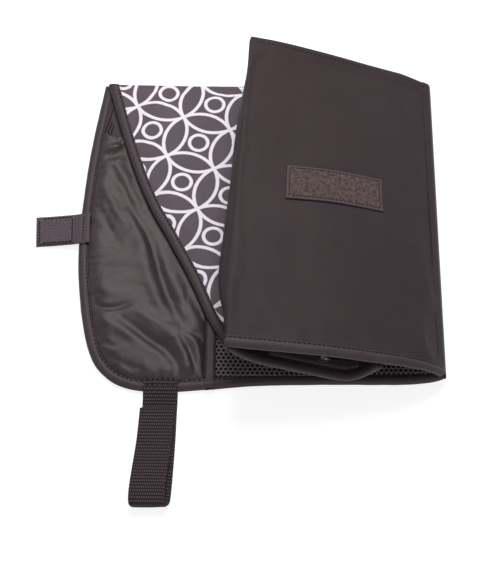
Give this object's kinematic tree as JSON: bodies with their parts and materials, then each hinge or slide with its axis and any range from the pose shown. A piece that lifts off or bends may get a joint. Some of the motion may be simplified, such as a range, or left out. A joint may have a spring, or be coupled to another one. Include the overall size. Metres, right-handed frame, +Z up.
{
  "type": "nappy changing clutch",
  "caption": "Padded fold-out baby changing clutch with a slung zipped pocket, mesh and nylon pockets, patterned changing pad, hook-and-loop tab and wrist strap, lying half open.",
  "frame": {"origin": "middle of the back panel's underside, on the table", "axes": "+Z up, +Y towards the far end of the folds, +X towards the spine"},
  "size_m": [0.367, 0.4305, 0.0762],
  "materials": {
    "shell": "satin twill",
    "padding": "matt wadding",
    "lining": "smooth coated cloth",
    "binding": "matt ribbed tape",
    "nylon": "shiny crinkled nylon",
    "mesh": "matt hexagonal mesh",
    "print": "wipeable printed cloth",
    "webbing": "ribbed webbing",
    "loop_tape": "fuzzy loop tape",
    "hook_tape": "matt hook tape",
    "zip_coil": "moulded coil",
    "zip_metal": "plated"
  },
  "bodies": {
    "base": {"back_panel_outer": "shell", "back_panel_board": "padding", "back_panel_lining": "lining", "back_panel_front_binding": "binding", "back_panel_back_binding": "binding", "mesh_pocket": "mesh", "mesh_pocket_elastic": "binding", "divider_binding": "binding", "flap_fold_cloth": "shell", "spine_cloth": "shell", "pad_print_main": "print", "pad_foam_main": "padding", "pad_backing_main": "lining", "pad_binding_main": "binding", "pad_fold_bridge": "print"},
    "cover": {"cover_outer": "shell", "cover_padding": "padding", "cover_lining": "lining", "cover_front_binding": "binding", "fold_front_binding": "binding", "cover_loop_patch": "loop_tape", "pocket_panel_outer": "shell", "pocket_panel_padding": "padding", "pocket_panel_lining": "lining", "pocket_panel_binding": "binding", "zip_tape": "binding", "zip_coil_front": "zip_coil", "zip_coil_back": "zip_coil", "zip_stop_left": "zip_metal", "zip_stop_right": "zip_metal"},
    "zip_slider": {"zip_slider": "zip_metal"},
    "zip_pull": {"zip_pull": "zip_metal"},
    "flap": {"flap_outer": "shell", "flap_padding": "padding", "flap_lining": "nylon", "flap_binding": "binding", "nylon_pocket": "nylon", "nylon_pocket_hem": "nylon", "pad_print_corner": "print", "pad_foam_corner": "padding", "pad_backing_corner": "lining", "pad_binding_corner": "binding", "tab_anchor": "hook_tape", "strap_anchor": "webbing"},
    "tab": {"tab_cloth": "hook_tape", "tab_hook_tape": "hook_tape"},
    "strap": {"strap_webbing": "webbing", "strap_loop_pad": "loop_tape"},
    "strap_end": {"strap_free_end": "webbing", "strap_hook_pad": "hook_tape"}
  },
  "joints": [
    {"name": "cover_fold", "type": "hinge", "parent": "base", "child": "cover", "pos_m": [0.102, 0, 0.0065], "axis": [0, 1, 0], "range_deg": [0, 135], "deforming": ["spine_cloth"]},
    {"name": "flap_fold", "type": "hinge", "parent": "base", "child": "flap", "pos_m": [-0.102, 0, 0.006], "axis": [0, 1, 0], "range_deg": [0, 80], "deforming": ["flap_fold_cloth", "divider_binding", "pad_fold_bridge"]},
    {"name": "tab_fold", "type": "hinge", "parent": "flap", "child": "tab", "pos_m": [-0.22265, -0.0045, 0.006], "axis": [0, 1, 0], "range_deg": [0, 150]},
    {"name": "strap_swing", "type": "hinge", "parent": "flap", "child": "strap", "pos_m": [-0.144, -0.1659, 0.0064], "axis": [-1, 0, 0], "range_deg": [0, 150]},
    {"name": "strap_end_peel", "type": "hinge", "parent": "strap", "child": "strap_end", "pos_m": [-0.1515, -0.2677, 0.0092], "axis": [1, 0, 0], "range_deg": [0, 160]},
    {"name": "zip_slide", "type": "slide", "parent": "cover", "child": "zip_slider", "axis": [-0.9262, 0, 0.3771], "range_m": [0, 0.04]},
    {"name": "zip_pull_swing", "type": "hinge", "parent": "zip_slider", "child": "zip_pull", "pos_m": [-0.00345, -0.141, 0.02369], "axis": [0, -1, 0], "range_deg": [0, 150]}
  ]
}
